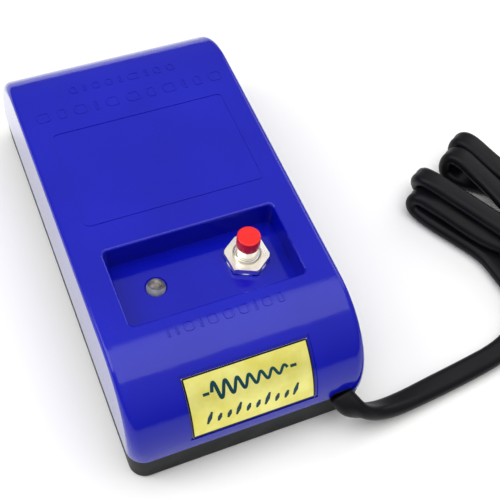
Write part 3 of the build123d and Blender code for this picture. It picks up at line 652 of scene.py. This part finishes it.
def on_top(x, y, rise):
    """A point over the flat top or the round ends of the shell, rise above its surface."""
    past = abs(y) - ARC_Y
    if past <= 0:
        return here(x, y, HEIGHT + rise)
    tilt = math.asin(past / END_RADIUS)
    radius = END_RADIUS + rise
    side = math.copysign(1, y)
    return here(x, side * (ARC_Y + radius * math.sin(tilt)), ARC_Z + radius * math.cos(tilt))


def raised_mark(vertices, faces, x, y, width, depth):
    """A raised outline of a rounded rectangle; a narrow one closes up to a bar."""
    rounds = 3
    corner = min(width, depth) * MARK_CORNER
    wall = min(MARK_STROKE, min(width, depth) / 2 - LEAST)
    start = len(vertices)
    count = 4 * (rounds + 1)
    profile = (
        (0, -MARK_SUNK),
        (MARK_SLOPE, MARK_RISE),
        (wall - MARK_SLOPE, MARK_RISE),
        (wall, -MARK_SUNK),
    )
    for inset, level in profile:
        turn_radius = max(corner - inset, LEAST)
        for quarter in range(4):
            cx = (width / 2 - inset - turn_radius) * (1 if quarter in (0, 3) else -1)
            cy = (depth / 2 - inset - turn_radius) * (1 if quarter in (0, 1) else -1)
            for step in range(rounds + 1):
                angle = math.pi / 2 * (quarter + step / rounds)
                px, py = cx + turn_radius * math.cos(angle), cy + turn_radius * math.sin(angle)
                vertices.append(on_top(x + px, y + py, level))
    for ring in range(len(profile)):
        first = start + ring * count
        second = start + (ring + 1) % len(profile) * count
        for k in range(count):
            after = (k + 1) % count
            faces.append((first + k, first + after, second + after, second + k))


def raised_row(name, from_x, to_x, y, depth, widths, gap):
    """A row of raised marks between two ends, of the given relative widths."""
    vertices, faces = [], []
    total = to_x - from_x - gap * (len(widths) - 1)
    x = from_x
    for share in widths:
        width = total * share / sum(widths)
        raised_mark(vertices, faces, x + width / 2, y, width, depth)
        x += width + gap
    piece = add_mesh(name, vertices, faces, smooth=False)
    outward(piece)
    piece.data.materials.append(shell.material)
    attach(piece, "case")


raised_row("raised_row_back", -15.0, 15.0, 39.4, 2.7, (2, 1, 2, 2, 1, 3, 1, 2, 2), 1.4)
raised_row("raised_row_wide", -26.0, 26.4, 32.3, 3.6, (3, 2, 3, 1, 3, 3, 2, 3, 1, 2, 3), 1.9)
raised_row("raised_row_front", -15.2, 14.6, -39.6, 3.0, (1, 1, 3, 1, 3, 3, 3, 1, 3, 2), 1.2)


# ---------------------------------------------------------------- print of the label
LABEL_X, LABEL_HALF = 0.3, 15.8
LABEL_RADIUS = END_RADIUS - 0.05
LABEL_FROM, LABEL_TO = 33.7, 79.2  # degrees down from the top
LABEL_ARC = math.radians(LABEL_TO - LABEL_FROM) * LABEL_RADIUS
INK = 0.03
EDGE_INSET, EDGE_WIDTH, EDGE_STROKES = 0.2, 0.4, 12
WAVE_FROM, WAVE_LENGTH, WAVE_LEVEL = -9.6, 19.2, 5.3
WAVE_SWING, WAVE_DECAY, WAVE_PERIODS, WAVE_STEPS = 2.4, 1.1, 6.5, 240
BARS_FROM, BARS_STEP, BARS_FOOT, BARS_LEAN = -11.2, 2.45, 13.6, 0.22
LONG_BAR, SHORT_BAR = 3.3, 2.1


def on_label(u, w, rise):
    """A point over the label: u along it from its middle, w down it from its upper edge."""
    angle = math.radians(LABEL_FROM) + w / LABEL_RADIUS
    radius = LABEL_RADIUS + rise
    return here(LABEL_X + u, -ARC_Y - radius * math.sin(angle), ARC_Z + radius * math.cos(angle))


def ribbon(vertices, faces, centre, thickness):
    """A flat stroke of ink along centre, a list of (u, w)."""
    start = len(vertices)
    points = [Vector(p) for p in centre]
    for i, point in enumerate(points):
        ahead = points[min(i + 1, len(points) - 1)] - points[max(i - 1, 0)]
        side = Vector((-ahead.y, ahead.x)).normalized() * thickness(i / (len(points) - 1)) / 2
        for offset, rise in ((-1, 0.0), (-1, INK), (1, INK), (1, 0.0)):
            edge = point + offset * side
            vertices.append(on_label(edge.x, edge.y, rise))
    for i in range(len(points) - 1):
        a = start + 4 * i
        for k in range(4):
            faces.append((a + k, a + (k + 1) % 4, a + 4 + (k + 1) % 4, a + 4 + k))
    faces.append((start, start + 3, start + 2, start + 1))
    last = len(vertices) - 4
    faces.append((last, last + 1, last + 2, last + 3))


def make_print():
    vertices, faces = [], []
    # A wave that dies away, as the field of the coil does
    wave = []
    for step in range(WAVE_STEPS + 1):
        share = step / WAVE_STEPS
        swing = WAVE_SWING * math.exp(-WAVE_DECAY * share)
        level = WAVE_LEVEL - swing * math.sin(math.tau * WAVE_PERIODS * share)
        wave.append((WAVE_FROM + WAVE_LENGTH * share, level))
    ribbon(vertices, faces, wave, lambda share: 0.86 - 0.16 * share)
    for first, last in ((-11.8, -10.2), (10.3, 11.9)):
        ribbon(
            vertices, faces, [(first, WAVE_LEVEL), (last, WAVE_LEVEL)], lambda share: 0.75
        )
    # A row of slanting bars, thickest in their middle
    for k in range(10):
        tall = SHORT_BAR if k % 3 else LONG_BAR
        u, lean = BARS_FROM + BARS_STEP * k, BARS_LEAN * tall
        ribbon(
            vertices,
            faces,
            [(u - lean, BARS_FOOT), (u, BARS_FOOT - tall / 2), (u + lean, BARS_FOOT - tall)],
            lambda share: 0.5 + 0.62 * math.sin(math.pi * share),
        )
    piece = add_mesh("label_print", vertices, faces, smooth=False)
    outward(piece)
    return piece


def make_edge():
    """The black line round the label."""
    vertices, faces = [], []
    edge_u, top, bottom = LABEL_HALF - EDGE_INSET, EDGE_INSET, LABEL_ARC - EDGE_INSET
    sides = (
        ((-edge_u, top), (edge_u, top)),
        ((edge_u, top), (edge_u, bottom)),
        ((edge_u, bottom), (-edge_u, bottom)),
        ((-edge_u, bottom), (-edge_u, top)),
    )
    for first, second in sides:
        first, second = Vector(first), Vector(second)
        steps = [step / EDGE_STROKES for step in range(EDGE_STROKES + 1)]
        line = [tuple(first.lerp(second, share)) for share in steps]
        ribbon(vertices, faces, line, lambda share: EDGE_WIDTH)
    piece = add_mesh("label_edge", vertices, faces, smooth=False)
    outward(piece)
    return piece


label_print = make_print()
label_edge = make_edge()
teal_ink = moulded("label_ink", srgb(0, 50, 62), srgb(4, 70, 80), 0.3, 0.45, 2500, 0.004 * MM)
black_ink = moulded("edge_ink", srgb(6, 8, 12), srgb(14, 17, 22), 0.3, 0.45, 2500, 0.004 * MM)
for piece, ink in ((label_print, teal_ink), (label_edge, black_ink)):
    ink.shader.inputs["Specular IOR Level"].default_value = 0.25
    piece.data.materials.append(ink.material)
    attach(piece, "case")


# ---------------------------------------------------------------- floor, light and backdrop
FLOOR_DROP = 0.2 * MM
floor_build = bmesh.new()
bmesh.ops.create_grid(floor_build, x_segments=8, y_segments=8, size=3.0)
floor_mesh = bpy.data.meshes.new("floor")
floor_build.to_mesh(floor_mesh)
floor_build.free()
floor = bpy.data.objects.new("floor", floor_mesh)
scene.collection.objects.link(floor)
floor.location.z = -FLOOR_DROP
paper = Finish("floor_paper")
clouds = paper.noise(9, 2)
paper.paint(paper.colour(clouds, (0.3, srgb(250, 250, 249)), (0.7, srgb(253, 253, 252))))
paper.rough(paper.noise(60, 2), 0.55, 0.7)
floor.data.materials.append(paper.material)


def area_light(name, size, power, place, target):
    data = bpy.data.lights.new(name, "AREA")
    data.shape = "RECTANGLE"
    data.size, data.size_y = size
    data.energy = power
    light = bpy.data.objects.new(name, data)
    scene.collection.objects.link(light)
    light.location = place
    light.rotation_mode = "QUATERNION"
    light.rotation_quaternion = (Vector(target) - Vector(place)).to_track_quat("-Z", "Y")


area_light("softbox_top", (1.1, 0.8), 4.3, (0.0, -0.06, 0.95), (0, -0.06, 0))
area_light("softbox_right", (0.6, 0.5), 1.8, (0.75, 0.4, 0.6), (0, 0, 0))
area_light("softbox_left", (0.5, 0.7), 3.2, (-0.75, 0.2, 0.6), (-0.1, 0, 0))

world = bpy.data.worlds.new("room")
world.use_nodes = True
scene.world = world
nodes, links = world.node_tree.nodes, world.node_tree.links
heading = nodes.new("ShaderNodeTexCoord")
split = nodes.new("ShaderNodeSeparateXYZ")
links.new(heading.outputs["Generated"], split.inputs["Vector"])
gradient = nodes.new("ShaderNodeValToRGB")
for stop, level in ((0.0, 0.2), (0.3, 0.26), (0.8, 0.5), (1.0, 0.8)):
    if stop in (0.0, 1.0):
        element = gradient.color_ramp.elements[int(stop)]
    else:
        element = gradient.color_ramp.elements.new(stop)
    element.position = stop
    element.color = (level, level, level, 1)
links.new(split.outputs["Z"], gradient.inputs["Fac"])
links.new(gradient.outputs["Color"], nodes["Background"].inputs["Color"])
nodes["Background"].inputs["Strength"].default_value = 1.0
scene.view_settings.view_transform = "Standard"
